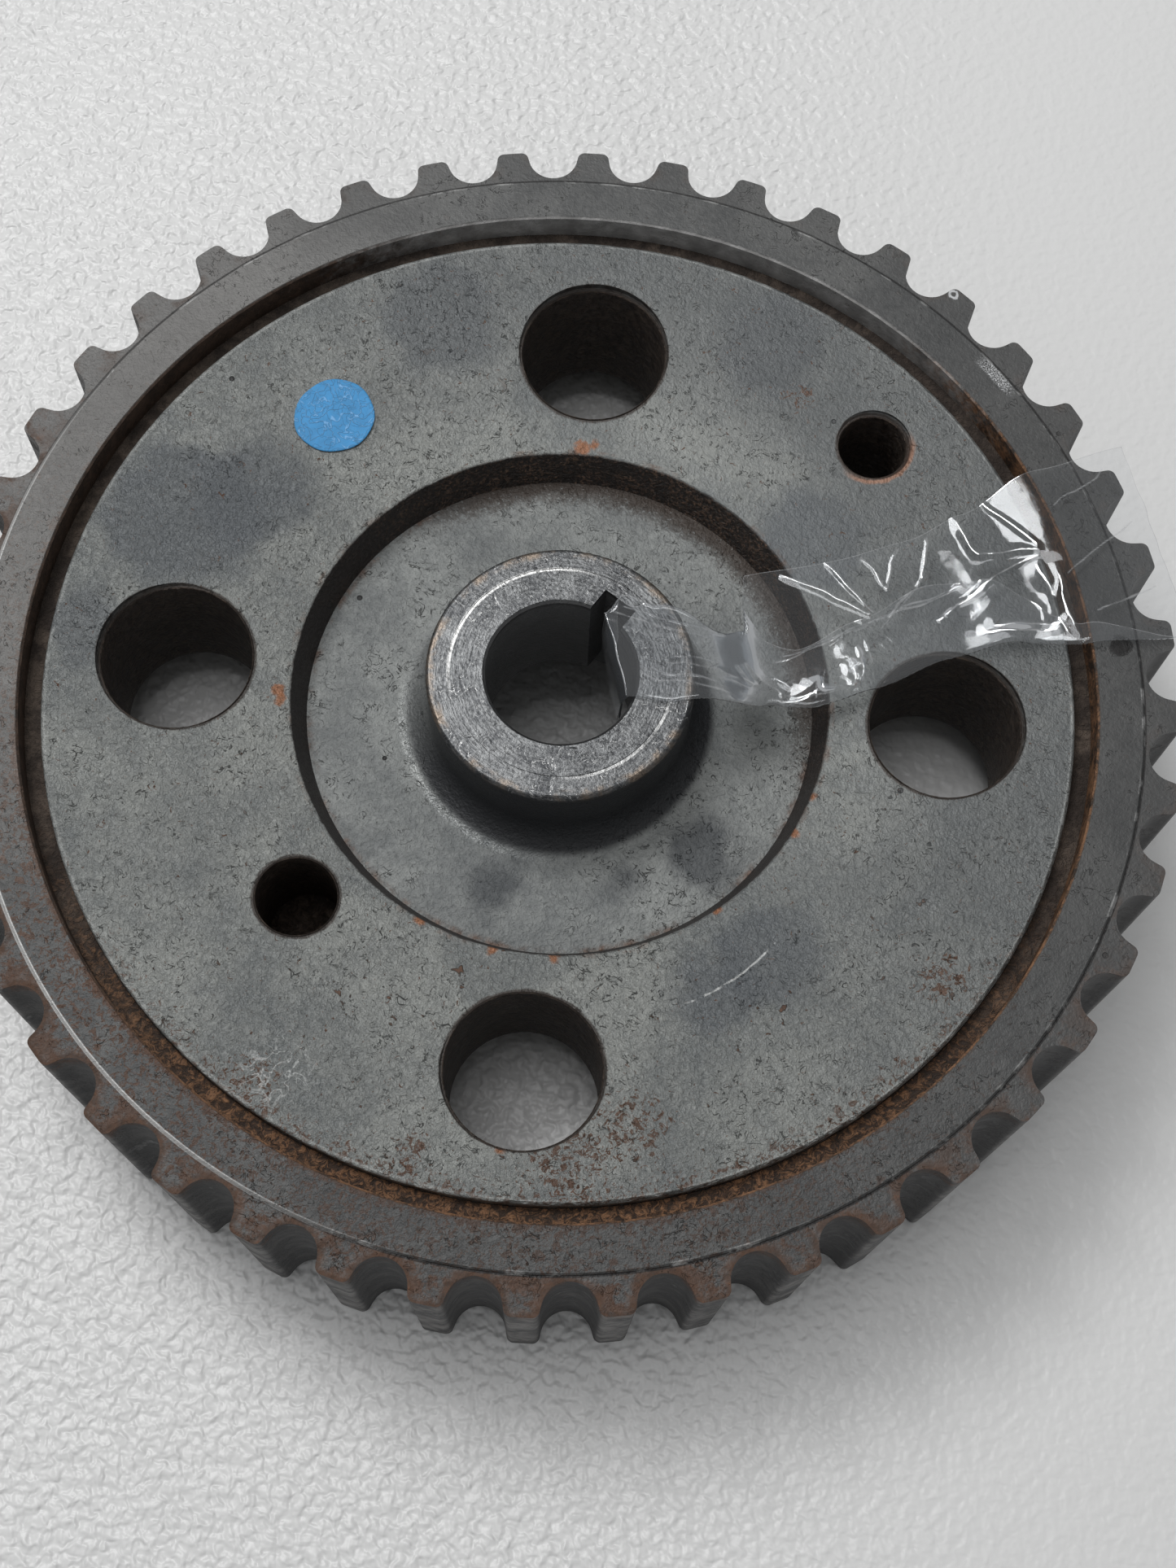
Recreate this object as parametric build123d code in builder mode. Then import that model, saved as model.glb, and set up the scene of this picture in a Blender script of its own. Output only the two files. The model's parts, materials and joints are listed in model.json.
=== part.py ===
from build123d import *

import os
from math import cos, pi, radians, sin, sqrt, tan

os.makedirs("parts", exist_ok=True)

# Timing belt pulley, in millimetres.
# +Z is the shaft axis, towards the nose. The origin is on the axis, in the plane of the rear band.

# Belt teeth
TOOTH_COUNT = 44
TOOTH_PITCH = 9.525
PITCH_LINE_OFFSET = 0.69
TOOTH_DEPTH = 3.5
GULLET_RADIUS = 2.8
FLANK_ANGLE = 15.0
TIP_ROUND = 0.8
TOOTH_START = 10.1
FACE_WIDTH = 27.0
CUTTER_MARGIN = 1.0

# Flat side bands of the rim
BAND_STEP = 0.3
BAND_INSET = 0.5
BAND_WIDTH = 5.0
BAND_EDGE = 0.25

# Web: dished in front, flat behind
GROOVE_WIDTH = 2.0
GROOVE_DEPTH = 3.4
WEB_DROP = 1.85
DISH_ANGLE = 5.1
WEB_REAR = 6.2
WEB_EDGE = 0.3

# Recess round the boss
RECESS_RADIUS = 29.0
RECESS_DEPTH = 4.5
RECESS_WALL_RUN = 1.35

# Holes through the web
LARGE_HOLE_COUNT = 4
LARGE_HOLE_RADIUS = 8.1
LARGE_HOLE_CIRCLE = 41.4
LARGE_HOLE_EDGE = 0.4
PIN_HOLE_RADIUS = 3.8
PIN_HOLE_CIRCLE = 45.7
PIN_HOLE_ANGLE = 45.4
PIN_HOLE_EDGE = 0.5
BLIND_HOLE_RADIUS = 4.25
BLIND_HOLE_CIRCLE = 35.7
BLIND_HOLE_ANGLE = 225.2
BLIND_HOLE_DEPTH = 14.0

# Hub
NOSE_RADIUS = 14.25
NOSE_RISE = 2.15
NOSE_EDGE = 0.5
BOSS_FILLET = 3.4
BORE_RADIUS = 8.0
BORE_LENGTH = 16.5
BORE_EDGE = 0.3
RELIEF_STEP = 4.0
KEYWAY_WIDTH = 4.0
KEYWAY_DEPTH = 2.4
KEYWAY_ANGLE = 57.6
WASHER_MARK_INSET = 2.45
WASHER_MARK_WIDTH = 0.35
WASHER_MARK_DEPTH = 0.1

# Paper dot
DOT_LENGTH = 9.6
DOT_WIDTH = 8.7
DOT_THICKNESS = 0.15
DOT_CIRCLE = 41.45
DOT_ANGLE = 132.8

# Film tape, laid outwards from the bore along one direction, clear of the large holes
TAPE_ANGLE = 19.0
TAPE_THICKNESS = 0.3
TAPE_GAP = 0.05
TAPE_WIDE = 23.5
TAPE_GATHERED = 15.2
TAPE_INNER = 12.4
TAPE_SHORT = 0.3
TAPE_LIFT = 0.6
TAPE_LANDING = 3.0
TAPE_GROOVE_LEAD = 2.5
TAPE_NECK = 6.0
TAPE_FLARE = 8.0

# Worked out from the sizes above
tip_radius = TOOTH_COUNT * TOOTH_PITCH / (2 * pi) - PITCH_LINE_OFFSET
root_radius = tip_radius - TOOTH_DEPTH
band_outer = root_radius - BAND_INSET
band_inner = band_outer - BAND_WIDTH
rim_height = FACE_WIDTH + 2 * BAND_STEP
groove_floor = rim_height - GROOVE_DEPTH
web_radius = band_inner - GROOVE_WIDTH
web_top = rim_height - WEB_DROP
dish = tan(radians(DISH_ANGLE))
recess_top = web_top - (web_radius - RECESS_RADIUS) * dish
recess_floor = recess_top - RECESS_DEPTH
hub_radius = RECESS_RADIUS - RECESS_WALL_RUN
nose_top = rim_height + NOSE_RISE
bore_end = nose_top - BORE_LENGTH
relief_radius = BORE_RADIUS + RELIEF_STEP
keyway_reach = BORE_RADIUS + KEYWAY_DEPTH
washer_mark_radius = NOSE_RADIUS - WASHER_MARK_INSET


def web_height(radius):
    """Height of the dished face at a distance from the shaft axis."""
    return web_top - (web_radius - radius) * dish


def spot(radius, angle):
    """A point on a circle round the shaft axis."""
    return (radius * cos(radians(angle)), radius * sin(radians(angle)))


# Gullet outline: a round bottom, two straight flanks and a mouth beyond the tooth tips
flank = radians(FLANK_ANGLE)
arc_middle = (pi / 2 - flank) / 2
arc_x = GULLET_RADIUS * cos(flank)
arc_y = GULLET_RADIUS * (1 - sin(flank))
middle_x = GULLET_RADIUS * sin(arc_middle)
middle_y = GULLET_RADIUS * (1 - cos(arc_middle))
mouth_y = TOOTH_DEPTH + CUTTER_MARGIN
mouth_x = arc_x + (mouth_y - arc_y) * tan(flank)

with BuildSketch() as gullet:
    with BuildLine():
        ThreePointArc((0, 0), (middle_y, middle_x), (arc_y, arc_x))
        Line((arc_y, arc_x), (mouth_y, mouth_x))
        Line((mouth_y, mouth_x), (mouth_y, -mouth_x))
        Line((mouth_y, -mouth_x), (arc_y, -arc_x))
        ThreePointArc((arc_y, -arc_x), (middle_y, -middle_x), (0, 0))
    make_face()

# Toothed rim: the gullets are cut from a disc, then the side bands are added
with BuildPart() as toothed_rim:
    with BuildSketch(Plane.XY.offset(BAND_STEP)) as teeth:
        Circle(tip_radius)
        first_gullet = TOOTH_START + 180 / TOOTH_COUNT
        with PolarLocations(root_radius, TOOTH_COUNT, start_angle=first_gullet):
            add(gullet.sketch, mode=Mode.SUBTRACT)
        corners = teeth.vertices().filter_by(lambda v: sqrt(v.X**2 + v.Y**2) > tip_radius - CUTTER_MARGIN)
        fillet(corners, TIP_ROUND)
        Circle(band_inner, mode=Mode.SUBTRACT)
    extrude(amount=FACE_WIDTH)
    with BuildSketch(Plane.XY):
        Circle(band_outer)
        Circle(band_inner, mode=Mode.SUBTRACT)
    extrude(amount=rim_height)
    side_faces = toothed_rim.faces().filter_by(Plane.XY)
    band_faces = [side_faces.sort_by(Axis.Z)[0], side_faces.sort_by(Axis.Z)[-1]]
    chamfer([edge for face in band_faces for edge in face.edges()], BAND_EDGE)

toothed_rim.part.label = "toothed_rim"
export_step(toothed_rim.part, "parts/toothed_rim.step")


# Web disc: pressed into the rim, and holds the hub
with BuildPart() as web_disc:
    with BuildSketch(Plane.XZ) as web_section:
        with BuildLine():
            Polyline(
                (hub_radius, WEB_REAR),
                (band_inner, WEB_REAR),
                (band_inner, groove_floor),
                (web_radius, groove_floor),
                (web_radius, web_top),
                (RECESS_RADIUS, recess_top),
                (hub_radius, recess_floor),
                close=True,
            )
        make_face()
        outer_lip = web_section.vertices().sort_by_distance((web_radius, web_top))[0]
        fillet(outer_lip, WEB_EDGE)
        inner_lip = web_section.vertices().sort_by_distance((RECESS_RADIUS, recess_top))[0]
        fillet(inner_lip, WEB_EDGE)
    revolve(axis=Axis.Z)
    with Locations(Plane.XY.offset(web_height(LARGE_HOLE_CIRCLE))):
        with PolarLocations(LARGE_HOLE_CIRCLE, LARGE_HOLE_COUNT):
            CounterSinkHole(LARGE_HOLE_RADIUS, LARGE_HOLE_RADIUS + LARGE_HOLE_EDGE, counter_sink_angle=90)
    with Locations(Plane.XY.offset(web_height(PIN_HOLE_CIRCLE))):
        with Locations(spot(PIN_HOLE_CIRCLE, PIN_HOLE_ANGLE)):
            CounterSinkHole(PIN_HOLE_RADIUS, PIN_HOLE_RADIUS + PIN_HOLE_EDGE, counter_sink_angle=90)
    blind_mouth = web_height(BLIND_HOLE_CIRCLE) + BLIND_HOLE_RADIUS * dish
    with Locations(Plane.XY.offset(blind_mouth)):
        with Locations(spot(BLIND_HOLE_CIRCLE, BLIND_HOLE_ANGLE)):
            Hole(BLIND_HOLE_RADIUS, depth=BLIND_HOLE_DEPTH)

web_disc.part.label = "web_disc"
export_step(web_disc.part, "parts/web_disc.step")


# Keyed hub: flange, boss and nose in one turning, with a relief behind the bore
with BuildPart() as keyed_hub:
    with BuildSketch(Plane.XZ) as hub_section:
        with BuildLine():
            Polyline(
                (relief_radius, WEB_REAR),
                (hub_radius, WEB_REAR),
                (hub_radius, recess_floor),
                (NOSE_RADIUS, recess_floor),
                (NOSE_RADIUS, nose_top),
                (BORE_RADIUS, nose_top),
                (BORE_RADIUS, bore_end),
                (relief_radius, bore_end),
                close=True,
            )
        make_face()
        base = hub_section.vertices().sort_by_distance((NOSE_RADIUS, recess_floor))[0]
        fillet(base, BOSS_FILLET)
        nose_corner = hub_section.vertices().sort_by_distance((NOSE_RADIUS, nose_top))[0]
        fillet(nose_corner, NOSE_EDGE)
        bore_corners = hub_section.vertices().group_by(Axis.X)[0]
        chamfer(bore_corners, BORE_EDGE)
    revolve(axis=Axis.Z)
    with BuildSketch(Plane.XZ):
        with Locations((washer_mark_radius, nose_top)):
            Rectangle(WASHER_MARK_WIDTH, 2 * WASHER_MARK_DEPTH)
    revolve(axis=Axis.Z, mode=Mode.SUBTRACT)
    with BuildSketch(Plane.XY.offset(bore_end)):
        with Locations(Rotation(0, 0, KEYWAY_ANGLE)):
            with Locations((keyway_reach / 2, 0)):
                Rectangle(keyway_reach, KEYWAY_WIDTH)
    extrude(amount=BORE_LENGTH, mode=Mode.SUBTRACT)

keyed_hub.part.label = "keyed_hub"
export_step(keyed_hub.part, "parts/keyed_hub.step")


# Paper dot, lying on the slope of the web
dot_foot = spot(DOT_CIRCLE, DOT_ANGLE)
dot_plane = Plane(
    origin=(dot_foot[0], dot_foot[1], web_height(DOT_CIRCLE)),
    x_dir=(-sin(radians(DOT_ANGLE)), cos(radians(DOT_ANGLE)), 0),
    z_dir=(-sin(radians(DISH_ANGLE)) * cos(radians(DOT_ANGLE)),
           -sin(radians(DISH_ANGLE)) * sin(radians(DOT_ANGLE)),
           cos(radians(DISH_ANGLE))),
)
dot_lift = DOT_LENGTH**2 / (8 * DOT_CIRCLE) * dish

with BuildPart() as paper_dot:
    with BuildSketch(dot_plane.offset(dot_lift)):
        Ellipse(DOT_WIDTH / 2, DOT_LENGTH / 2)
    extrude(amount=DOT_THICKNESS)

paper_dot.part.label = "paper_dot"
export_step(paper_dot.part, "parts/paper_dot.step")


# Film tape: a side view along its direction, cut to the outline seen from above
tape_plane = Plane.XZ.rotated((0, 0, TAPE_ANGLE))
nose_level = nose_top + TAPE_GAP
web_landing = RECESS_RADIUS + TAPE_LANDING
band_level = rim_height + TAPE_GAP
tape_end = tip_radius - TAPE_SHORT
band_landing = sqrt(band_inner**2 - (TAPE_WIDE / 2) ** 2) - BAND_EDGE
groove_crossing = web_radius - TAPE_GROOVE_LEAD
tape_foot = [
    (BORE_RADIUS + BORE_EDGE, nose_level),
    (NOSE_RADIUS, nose_level),
    (web_landing, web_height(web_landing) + TAPE_LIFT),
    (groove_crossing, web_height(groove_crossing) + TAPE_LIFT),
    (band_landing, band_level),
    (tape_end, band_level),
]
tape_crown = [(x, z + TAPE_THICKNESS) for x, z in reversed(tape_foot)]
tape_outline = [
    (0, -TAPE_INNER / 2),
    (NOSE_RADIUS, -TAPE_INNER / 2),
    (NOSE_RADIUS + TAPE_NECK, -TAPE_GATHERED / 2),
    (web_radius - TAPE_FLARE, -TAPE_GATHERED / 2),
    (band_inner, -TAPE_WIDE / 2),
    (tape_end, -TAPE_WIDE / 2),
]
tape_outline += [(x, -y) for x, y in reversed(tape_outline)]

with BuildPart() as film_tape:
    with BuildSketch(tape_plane):
        with BuildLine():
            Polyline(*tape_foot, *tape_crown, close=True)
        make_face()
    extrude(amount=TAPE_WIDE / 2, both=True)
    with BuildSketch(Plane.XY.rotated((0, 0, TAPE_ANGLE))):
        with BuildLine():
            Polyline(*tape_outline, close=True)
        make_face()
        Circle(BORE_RADIUS + BORE_EDGE, mode=Mode.SUBTRACT)
        with Locations(Rotation(0, 0, -TAPE_ANGLE)):
            with PolarLocations(LARGE_HOLE_CIRCLE, LARGE_HOLE_COUNT):
                Circle(LARGE_HOLE_RADIUS + LARGE_HOLE_EDGE, mode=Mode.SUBTRACT)
    extrude(amount=2 * nose_top, mode=Mode.INTERSECT)

film_tape.part.label = "film_tape"
export_step(film_tape.part, "parts/film_tape.step")
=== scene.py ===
"""Finishes a worn timing belt pulley: phosphated steel, rust, a paper dot and a strip of clear film."""

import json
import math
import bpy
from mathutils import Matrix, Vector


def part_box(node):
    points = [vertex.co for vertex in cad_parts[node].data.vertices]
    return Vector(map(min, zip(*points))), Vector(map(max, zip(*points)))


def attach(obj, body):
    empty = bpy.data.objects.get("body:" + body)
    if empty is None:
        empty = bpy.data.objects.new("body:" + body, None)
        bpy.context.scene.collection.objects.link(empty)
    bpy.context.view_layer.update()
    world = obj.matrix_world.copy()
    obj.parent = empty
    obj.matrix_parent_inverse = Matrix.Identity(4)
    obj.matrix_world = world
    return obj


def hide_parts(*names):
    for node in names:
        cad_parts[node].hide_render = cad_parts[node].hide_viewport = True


bl_info = {
    "name": "Timing Belt Pulley",
    "version": (1, 0, 0),
    "blender": (4, 5, 0),
    "location": "3D View > Sidebar > Pulley",
    "description": "Gives a timing belt pulley its steel, rust, paper dot and film, and sets a stage for it",
    "category": "Object",
}

import bmesh
import bpy
from mathutils import Matrix, Vector, noise

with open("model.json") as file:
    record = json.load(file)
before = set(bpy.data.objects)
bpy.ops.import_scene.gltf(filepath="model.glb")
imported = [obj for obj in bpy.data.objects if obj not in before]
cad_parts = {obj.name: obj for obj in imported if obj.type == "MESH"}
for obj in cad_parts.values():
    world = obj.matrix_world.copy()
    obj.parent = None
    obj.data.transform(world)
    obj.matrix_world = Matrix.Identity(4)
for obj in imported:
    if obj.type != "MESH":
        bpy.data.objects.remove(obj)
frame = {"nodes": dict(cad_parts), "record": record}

MM = 0.001

# Sizes of the wheel, in metres, from the frame
RIM_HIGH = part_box("toothed_rim")[1]
WEB_LOW, WEB_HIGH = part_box("web_disc")
HUB_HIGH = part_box("keyed_hub")[1]
DOT_LOW, DOT_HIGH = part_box("paper_dot")
MOUNTS = {mount["name"]: mount for mount in frame["record"]["mounts"]}

# The same in millimetres, for the shaders and the film
TIP_RADIUS = RIM_HIGH.x / MM
RIM_TOP = RIM_HIGH.z / MM
BACK = WEB_LOW.z / MM
NOSE_TOP = HUB_HIGH.z / MM
BORE_RADIUS = MOUNTS["bore"]["dims"]["r_mm"]
HOLE_CIRCLE = MOUNTS["large_holes"]["dims"]["pcd_mm"] / 2
HOLE_RADIUS = MOUNTS["large_holes"]["dims"]["hole_r_mm"]
PIN_PLACE = [c / MM for c in MOUNTS["pin_hole"]["pos_m"][:2]]
PIN_RADIUS = MOUNTS["pin_hole"]["dims"]["r_mm"]
BLIND_PLACE = [c / MM for c in MOUNTS["blind_hole"]["pos_m"][:2]]
BLIND_RADIUS = MOUNTS["blind_hole"]["dims"]["r_mm"]
BAND_INNER = WEB_HIGH.x / MM
HUB_RADIUS = HUB_HIGH.x / MM
TOOTH_COUNT = 44
TOOTH_DEPTH = 3.5
GULLET_RADIUS = 2.8
TOOTH_START = 10.1
ROOT_RADIUS = TIP_RADIUS - TOOTH_DEPTH
BAND_OUTER = ROOT_RADIUS - 0.5
WEB_RADIUS = BAND_INNER - 2.0
WEB_TOP = RIM_TOP - 1.85
DISH = math.tan(math.radians(5.1))
RECESS_RADIUS = 29.0
NOSE_RADIUS = 14.25


def web_height(radius):
    """Height of the dished web at a distance from the shaft axis, in millimetres."""
    return WEB_TOP - (WEB_RADIUS - radius) * DISH


# ---------------------------------------------------------------------------------------------
# Shader building
# ---------------------------------------------------------------------------------------------


class Value:
    """A socket that Python's operators work on. Each operator adds its Math node."""

    def __init__(self, finish, socket):
        self.finish = finish
        self.socket = socket

    def __add__(self, other):
        return self.finish.maths("ADD", self, other)

    def __radd__(self, other):
        return self.finish.maths("ADD", other, self)

    def __sub__(self, other):
        return self.finish.maths("SUBTRACT", self, other)

    def __rsub__(self, other):
        return self.finish.maths("SUBTRACT", other, self)

    def __mul__(self, other):
        return self.finish.maths("MULTIPLY", self, other)

    def __rmul__(self, other):
        return self.finish.maths("MULTIPLY", other, self)

    def __abs__(self):
        return self.finish.maths("ABSOLUTE", self)


class Finish:
    """One material: a Principled shader and the nodes that feed it, with its lengths in millimetres."""

    def __init__(self, name, **constants):
        self.material = bpy.data.materials.new(name)
        self.material.use_nodes = True
        self.tree = self.material.node_tree
        self.tree.nodes.clear()
        self.shader = self.tree.nodes.new("ShaderNodeBsdfPrincipled")
        self.output = self.tree.nodes.new("ShaderNodeOutputMaterial")
        self.tree.links.new(self.shader.outputs["BSDF"], self.output.inputs["Surface"])
        for socket, value in constants.items():
            self.shader.inputs[socket.replace("_", " ")].default_value = value
        at = self.node("ShaderNodeTexCoord", output="Object")
        self.at = self.vector("SCALE", at, scale=1 / MM)
        split = self.node("ShaderNodeSeparateXYZ", inputs={0: self.at}).socket.node
        self.x, self.y, self.z = [Value(self, socket) for socket in split.outputs]
        self.radius = self.maths("SQRT", self.x * self.x + self.y * self.y)
        self.angle = self.maths("ARCTAN2", self.y, self.x) * (180 / math.pi)

    def node(self, kind, settings=None, inputs=None, output=0):
        """Adds a node: its settings first, then the values or links of its sockets."""
        made = self.tree.nodes.new(kind)
        for name, setting in (settings or {}).items():
            setattr(made, name, setting)
        for key, value in (inputs or {}).items():
            socket = made.inputs[key]
            if isinstance(value, Value):
                self.tree.links.new(value.socket, socket)
            else:
                socket.default_value = value
        return Value(self, made.outputs[output])

    def maths(self, operation, *values):
        return self.node("ShaderNodeMath", {"operation": operation}, dict(enumerate(values)))

    def vector(self, operation, *values, scale=None):
        inputs = dict(enumerate(values))
        if scale is not None:
            inputs["Scale"] = scale
        return self.node("ShaderNodeVectorMath", {"operation": operation}, inputs)

    def ramp(self, value, low, high):
        """0 at low and 1 at high, with a smooth step between; low may be the larger."""
        inputs = {"Value": value, "From Min": low, "From Max": high, "To Min": 0.0, "To Max": 1.0}
        return self.node("ShaderNodeMapRange", {"interpolation_type": "SMOOTHSTEP"}, inputs)

    def band(self, value, low, high, soft):
        """1 between low and high, with soft shoulders outside."""
        return self.ramp(value, low - soft, low) * self.ramp(value, high + soft, high)

    def larger(self, a, b):
        return self.maths("MAXIMUM", a, b)

    def smaller(self, a, b):
        return self.maths("MINIMUM", a, b)

    def mix(self, mask, a, b):
        """Colour a where the mask is 0 and colour b where it is 1."""
        made = self.tree.nodes.new("ShaderNodeMix")
        made.data_type = "RGBA"
        for socket, value in ((made.inputs[0], mask), (made.inputs[6], a), (made.inputs[7], b)):
            if isinstance(value, Value):
                self.tree.links.new(value.socket, socket)
            elif isinstance(value, (int, float)):
                socket.default_value = value
            else:
                socket.default_value = (*value[:3], 1.0)
        return Value(self, made.outputs[2])

    def noise(self, size, detail, rough, warp, seed, at=None):
        """Noise with lumps about this many millimetres across, from 0 to 1."""
        moved = self.vector("ADD", at or self.at, (seed * 17.3, seed * 7.9, seed * 3.1))
        inputs = {"Vector": moved, "Scale": 1 / size, "Detail": detail, "Roughness": rough}
        inputs["Distortion"] = warp
        return self.node("ShaderNodeTexNoise", {}, inputs)

    def cells(self, size, seed):
        """Distance to the nearest of scattered points, in units of size."""
        moved = self.vector("ADD", self.at, (seed * 5.7, seed * 13.1, seed * 2.3))
        return self.node("ShaderNodeTexVoronoi", {"feature": "F1"}, {"Vector": moved, "Scale": 1 / size})

    def away(self, place):
        """Distance from an upright line through a place in plan."""
        dx = self.x - place[0]
        dy = self.y - place[1]
        return self.maths("SQRT", dx * dx + dy * dy)

    def threads(self, size, width, warp, seed):
        """Thin crooked lines, 1 on the line."""
        field = self.noise(size, 2.0, 0.5, warp, seed)
        return self.ramp(abs(field - 0.5), width, 0.0)

    def turned(self, centre):
        """Degrees away from a direction, 0 to 180, round the shaft axis."""
        gap = abs(self.angle - centre)
        return self.smaller(gap, abs(gap - 360))

    def bump(self, height, depth):
        """Feeds a height, in units of depth millimetres, into the shader's normal."""
        inputs = {"Height": height, "Strength": 1.0, "Distance": depth * MM}
        bump = self.node("ShaderNodeBump", {}, inputs)
        self.tree.links.new(bump.socket, self.shader.inputs["Normal"])

    def feed(self, socket, value):
        self.tree.links.new(value.socket, self.shader.inputs[socket])


# ---------------------------------------------------------------------------------------------
# Steel finishes
# ---------------------------------------------------------------------------------------------

RUST_DARK = (0.035, 0.019, 0.012)
RUST_BROWN = (0.115, 0.055, 0.030)
RUST_ORANGE = (0.36, 0.14, 0.055)
# Soot black, also used for the painted shade line where the band stands on the teeth
SOOT_AND_SHADE = (0.010, 0.009, 0.009)
WORN_STEEL = (0.50, 0.51, 0.50)
# Bright bare steel, also used for the painted highlights on the nose's washer ring and the band's edge
BARE_STEEL_AND_GLINT = (0.62, 0.62, 0.61)

# Stains and rust spots: place in plan and radius, in millimetres
WEB_STAINS = (
    (-17.8, 44.0, 6.5), (20.0, 44.4, 6.0), (-43.0, 16.5, 8.5), (-36.0, 20.0, 6.0),
    (25.5, 20.5, 6.5), (24.0, -27.0, 5.5), (19.0, -31.5, 4.5), (-52.0, 2.0, 4.0),
)
HUB_STAINS = ((-5.3, -20.8, 3.1), (16.6, -15.0, 3.5), (9.1, -18.5, 1.3))
# Above the recess, at its left, along its right and lower edge, and below the bottom hole
RUST_SPOTS = (
    (-0.2, 29.8, 0.9), (1.0, 30.2, 0.5), (-30.2, -2.4, 0.7), (-29.8, -3.5, 0.5),
    (27.7, -9.1, 0.45), (26.1, -13.3, 0.5), (18.4, -22.4, 0.4), (-12.2, -26.5, 0.6),
    (-4.4, -28.9, 0.5), (1.9, -29.2, 0.55), (-1.5, -49.6, 0.5),
)
# Below the bottom hole, at the lower right and lower left, and between the top hole and the pin hole
CRUMB_PATCHES = (
    (5.0, -50.0, 8.0), (11.5, -46.0, 7.0), (-10.0, -51.0, 3.5), (42.0, -28.5, 5.0),
    (-27.0, -45.0, 5.0), (23.5, 37.9, 3.0),
)


def phosphate(steel, dark, light, seed):
    """Mottled phosphate: clouds, grain, dark fibres, scratches and pits.

    Returns its colour, its height and two of its noises.
    """
    clouds = steel.noise(16.0, 4.0, 0.6, 0.6, seed)
    mottle = steel.noise(3.2, 4.0, 0.65, 0.3, seed + 1)
    speckle = steel.noise(0.85, 3.0, 0.7, 0.5, seed + 7)
    grain = steel.noise(0.35, 2.0, 0.6, 0.0, seed + 2)
    tone = steel.ramp(clouds, 0.37, 0.63) * 0.44 + steel.ramp(mottle, 0.34, 0.66) * 0.20
    tone = tone + steel.ramp(speckle, 0.30, 0.70) * 0.20 + steel.ramp(grain, 0.25, 0.75) * 0.16
    colour = steel.mix(tone, dark, light)
    short = steel.ramp(steel.noise(1.1, 2.0, 0.5, 0.0, seed + 3), 0.50, 0.58)
    fibres = steel.threads(1.5, 0.022, 1.6, seed + 4) * short
    fibres = fibres * steel.ramp(clouds * 0.6 + mottle * 0.4, 0.46, 0.56)
    scratches = steel.threads(4.3, 0.006, 1.0, seed + 5) * steel.ramp(mottle, 0.5, 0.7)
    pits = steel.ramp(steel.cells(9.0, seed + 6), 0.038, 0.028)
    colour = steel.mix(fibres * 0.6, colour, SOOT_AND_SHADE)
    colour = steel.mix(pits * 0.95, colour, SOOT_AND_SHADE)
    colour = steel.mix(scratches * 0.5, colour, light)
    height = speckle * 1.2 + grain * 0.7 + mottle * 0.6 - fibres * 0.8 - pits * 1.2
    return colour, height, grain, mottle


def rust_specks(steel, size, share, seed):
    """A mask of scattered rust grains; a larger share gives more of them."""
    lumps = steel.noise(size, 3.0, 0.7, 0.4, seed)
    return steel.ramp(lumps, 0.78 - share, 0.82 - share)


def patch(steel, colour, places, tint, strength, seed):
    """Soft dark stains at places given as (x, y, radius) in millimetres, with crooked edges."""
    edge = (steel.noise(4.5, 3.0, 0.6, 0.2, seed) - 0.5) * 7.0
    for x, y, size in places:
        mask = steel.ramp(steel.away((x, y)) + edge, size + 1.8, size - 1.8)
        colour = steel.mix(mask * strength, colour, tint)
    return colour


def rust_colour(steel, seed):
    """Rust from dark brown to orange."""
    lumps = steel.noise(1.1, 4.0, 0.7, 0.3, seed)
    deep = steel.mix(steel.ramp(lumps, 0.35, 0.6), RUST_DARK, RUST_BROWN)
    return steel.mix(steel.ramp(lumps, 0.6, 0.78), deep, RUST_ORANGE)


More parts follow.
